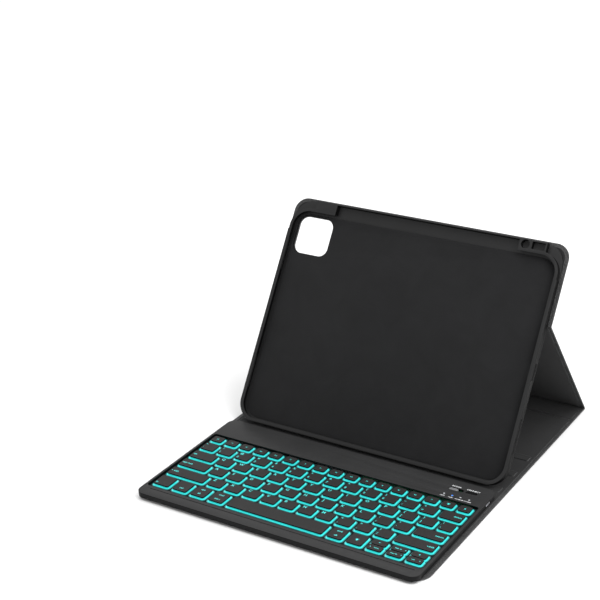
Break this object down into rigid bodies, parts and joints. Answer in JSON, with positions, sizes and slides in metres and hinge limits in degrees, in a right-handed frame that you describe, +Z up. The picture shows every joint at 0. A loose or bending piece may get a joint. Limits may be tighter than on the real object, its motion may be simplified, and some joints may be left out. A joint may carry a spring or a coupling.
{
  "type": "tablet keyboard case",
  "caption": "Folio case for a 13 inch tablet: a hinged leatherette cover folded into a stand, a slanted tray with a stylus groove, and a removable thin keyboard with backlit keys.",
  "frame": {"origin": "centre of the open case's footprint, on the surface it rests on", "axes": "+X to the typist's right, +Y away from the typist, +Z up"},
  "size_m": [0.293, 0.3592, 0.1974],
  "materials": {
    "cover_leather": "black pebbled leatherette, heat-pressed round the boards",
    "inner_cloth": "black brushed microfibre",
    "tray_plastic": "satin black flexible plastic",
    "keyboard_housing": "satin dark grey, fine texture",
    "key_plastic": "matt charcoal, translucent cyan legends",
    "backlight": "white diffuser lit cyan",
    "membrane": "clear film",
    "circuit_board": "green solder mask",
    "battery_foil": "embossed pouch foil",
    "bright_steel": "bright plated",
    "light_guide": "clear",
    "control_plastic": "smooth grey"
  },
  "bodies": {
    "front_cover": {"front_cover_panel": "cover_leather", "magnet_bar_1": "inner_cloth", "magnet_bar_2": "inner_cloth", "magnet_bar_3": "inner_cloth", "band_fold_leather": "cover_leather", "spine_fold_leather": "cover_leather"},
    "flap_band": {"wrap_band": "cover_leather", "flap_fold_leather": "cover_leather"},
    "flap": {"flap_panel": "cover_leather", "flap_magnet": "bright_steel"},
    "spine": {"spine_panel": "cover_leather", "rear_fold_leather": "cover_leather"},
    "strut": {"strut_panel": "cover_leather", "middle_fold_leather": "cover_leather"},
    "tray": {"tray_shell": "tray_plastic", "bay_lining": "inner_cloth", "upper_back_panel": "cover_leather"},
    "keyboard": {"keyboard_top_case": "keyboard_housing", "keyboard_bottom_case": "keyboard_housing", "backlight_plate": "backlight", "key_membrane": "membrane", "circuit_board": "circuit_board", "battery_left": "battery_foil", "battery_right": "battery_foil", "holding_magnet_left": "bright_steel", "holding_magnet_right": "bright_steel", "charging_port": "bright_steel", "indicator_light_guide": "light_guide"},
    "power_switch": {"power_switch_knob": "control_plastic"},
    "connect_button": {"connect_button": "control_plastic"},
    "function_keys": {"function_keys": "key_plastic"},
    "number_keys": {"number_keys": "key_plastic"},
    "upper_letter_keys": {"upper_letter_keys": "key_plastic"},
    "home_letter_keys": {"home_letter_keys": "key_plastic"},
    "lower_letter_keys": {"lower_letter_keys": "key_plastic"},
    "key_delete": {"key_delete": "key_plastic"},
    "key_tab": {"key_tab": "key_plastic"},
    "key_backslash": {"key_backslash": "key_plastic"},
    "key_caps_lock": {"key_caps_lock": "key_plastic"},
    "key_return": {"key_return": "key_plastic"},
    "key_shift_left": {"key_shift_left": "key_plastic"},
    "key_shift_right": {"key_shift_right": "key_plastic"},
    "key_fn": {"key_fn": "key_plastic"},
    "key_control": {"key_control": "key_plastic"},
    "key_option": {"key_option": "key_plastic"},
    "key_command_left": {"key_command_left": "key_plastic"},
    "key_space": {"key_space": "key_plastic"},
    "key_command_right": {"key_command_right": "key_plastic"},
    "key_backlight": {"key_backlight": "key_plastic"},
    "key_volume_up": {"key_volume_up": "key_plastic"},
    "key_arrow_left": {"key_arrow_left": "key_plastic"},
    "key_arrow_up": {"key_arrow_up": "key_plastic"},
    "key_arrow_down": {"key_arrow_down": "key_plastic"},
    "key_page": {"key_page": "key_plastic"},
    "key_arrow_right": {"key_arrow_right": "key_plastic"}
  },
  "joints": [
    {"name": "band_fold", "type": "hinge", "parent": "front_cover", "child": "flap_band", "pos_m": [0, -0.09255, 0.0011], "axis": [1, 0, 0], "range_deg": [0, 90]},
    {"name": "flap_fold", "type": "hinge", "parent": "flap_band", "child": "flap", "pos_m": [0, -0.12355, 0.0011], "axis": [1, 0, 0], "range_deg": [0, 90]},
    {"name": "spine_fold", "type": "hinge", "parent": "front_cover", "child": "spine", "pos_m": [0, 0.14745, 0.0011], "axis": [-1, 0, 0], "range_deg": [0, 90]},
    {"name": "rear_fold", "type": "hinge", "parent": "spine", "child": "strut", "pos_m": [0, 0.17845, 0.0011], "axis": [1, 0, 0], "range_deg": [-128, 0]},
    {"name": "middle_fold", "type": "hinge", "parent": "strut", "child": "tray", "pos_m": [0, 0.07711, 0.12967], "axis": [-1, 0, 0], "range_deg": [-71.09, 0]},
    {"name": "keyboard_lift", "type": "slide", "parent": "front_cover", "child": "keyboard", "axis": [0, 0, 1], "range_m": [0, 0.03]},
    {"name": "power_slide", "type": "slide", "parent": "keyboard", "child": "power_switch", "axis": [1, 0, 0], "range_m": [0, 0.0045]},
    {"name": "connect_press", "type": "slide", "parent": "keyboard", "child": "connect_button", "axis": [0, 0, -1], "range_m": [0, 0.0006], "stiffness_N_per_m": 600, "springref_m": -0.0005},
    {"name": "function_keys_press", "type": "slide", "parent": "keyboard", "child": "function_keys", "axis": [0, 0, -1], "range_m": [0, 0.0011], "stiffness_N_per_m": 1500, "springref_m": -0.0006},
    {"name": "number_keys_press", "type": "slide", "parent": "keyboard", "child": "number_keys", "axis": [0, 0, -1], "range_m": [0, 0.0011], "stiffness_N_per_m": 1500, "springref_m": -0.0006},
    {"name": "upper_letter_keys_press", "type": "slide", "parent": "keyboard", "child": "upper_letter_keys", "axis": [0, 0, -1], "range_m": [0, 0.0011], "stiffness_N_per_m": 1500, "springref_m": -0.0006},
    {"name": "home_letter_keys_press", "type": "slide", "parent": "keyboard", "child": "home_letter_keys", "axis": [0, 0, -1], "range_m": [0, 0.0011], "stiffness_N_per_m": 1500, "springref_m": -0.0006},
    {"name": "lower_letter_keys_press", "type": "slide", "parent": "keyboard", "child": "lower_letter_keys", "axis": [0, 0, -1], "range_m": [0, 0.0011], "stiffness_N_per_m": 1500, "springref_m": -0.0006},
    {"name": "key_delete_press", "type": "slide", "parent": "keyboard", "child": "key_delete", "axis": [0, 0, -1], "range_m": [0, 0.0011], "stiffness_N_per_m": 500, "springref_m": -0.0006},
    {"name": "key_tab_press", "type": "slide", "parent": "keyboard", "child": "key_tab", "axis": [0, 0, -1], "range_m": [0, 0.0011], "stiffness_N_per_m": 500, "springref_m": -0.0006},
    {"name": "key_backslash_press", "type": "slide", "parent": "keyboard", "child": "key_backslash", "axis": [0, 0, -1], "range_m": [0, 0.0011], "stiffness_N_per_m": 500, "springref_m": -0.0006},
    {"name": "key_caps_lock_press", "type": "slide", "parent": "keyboard", "child": "key_caps_lock", "axis": [0, 0, -1], "range_m": [0, 0.0011], "stiffness_N_per_m": 500, "springref_m": -0.0006},
    {"name": "key_return_press", "type": "slide", "parent": "keyboard", "child": "key_return", "axis": [0, 0, -1], "range_m": [0, 0.0011], "stiffness_N_per_m": 500, "springref_m": -0.0006},
    {"name": "key_shift_left_press", "type": "slide", "parent": "keyboard", "child": "key_shift_left", "axis": [0, 0, -1], "range_m": [0, 0.0011], "stiffness_N_per_m": 500, "springref_m": -0.0006},
    {"name": "key_shift_right_press", "type": "slide", "parent": "keyboard", "child": "key_shift_right", "axis": [0, 0, -1], "range_m": [0, 0.0011], "stiffness_N_per_m": 500, "springref_m": -0.0006},
    {"name": "key_fn_press", "type": "slide", "parent": "keyboard", "child": "key_fn", "axis": [0, 0, -1], "range_m": [0, 0.0011], "stiffness_N_per_m": 500, "springref_m": -0.0006},
    {"name": "key_control_press", "type": "slide", "parent": "keyboard", "child": "key_control", "axis": [0, 0, -1], "range_m": [0, 0.0011], "stiffness_N_per_m": 500, "springref_m": -0.0006},
    {"name": "key_option_press", "type": "slide", "parent": "keyboard", "child": "key_option", "axis": [0, 0, -1], "range_m": [0, 0.0011], "stiffness_N_per_m": 500, "springref_m": -0.0006},
    {"name": "key_command_left_press", "type": "slide", "parent": "keyboard", "child": "key_command_left", "axis": [0, 0, -1], "range_m": [0, 0.0011], "stiffness_N_per_m": 500, "springref_m": -0.0006},
    {"name": "key_space_press", "type": "slide", "parent": "keyboard", "child": "key_space", "axis": [0, 0, -1], "range_m": [0, 0.0011], "stiffness_N_per_m": 500, "springref_m": -0.0006},
    {"name": "key_command_right_press", "type": "slide", "parent": "keyboard", "child": "key_command_right", "axis": [0, 0, -1], "range_m": [0, 0.0011], "stiffness_N_per_m": 500, "springref_m": -0.0006},
    {"name": "key_backlight_press", "type": "slide", "parent": "keyboard", "child": "key_backlight", "axis": [0, 0, -1], "range_m": [0, 0.0011], "stiffness_N_per_m": 500, "springref_m": -0.0006},
    {"name": "key_volume_up_press", "type": "slide", "parent": "keyboard", "child": "key_volume_up", "axis": [0, 0, -1], "range_m": [0, 0.0011], "stiffness_N_per_m": 500, "springref_m": -0.0006},
    {"name": "key_arrow_left_press", "type": "slide", "parent": "keyboard", "child": "key_arrow_left", "axis": [0, 0, -1], "range_m": [0, 0.0011], "stiffness_N_per_m": 500, "springref_m": -0.0006},
    {"name": "key_arrow_up_press", "type": "slide", "parent": "keyboard", "child": "key_arrow_up", "axis": [0, 0, -1], "range_m": [0, 0.0011], "stiffness_N_per_m": 500, "springref_m": -0.0006},
    {"name": "key_arrow_down_press", "type": "slide", "parent": "keyboard", "child": "key_arrow_down", "axis": [0, 0, -1], "range_m": [0, 0.0011], "stiffness_N_per_m": 500, "springref_m": -0.0006},
    {"name": "key_page_press", "type": "slide", "parent": "keyboard", "child": "key_page", "axis": [0, 0, -1], "range_m": [0, 0.0011], "stiffness_N_per_m": 500, "springref_m": -0.0006},
    {"name": "key_arrow_right_press", "type": "slide", "parent": "keyboard", "child": "key_arrow_right", "axis": [0, 0, -1], "range_m": [0, 0.0011], "stiffness_N_per_m": 500, "springref_m": -0.0006}
  ],
  "couplings": [
    {"joint": "middle_fold", "follows": "rear_fold", "ratio": 0.555}
  ]
}
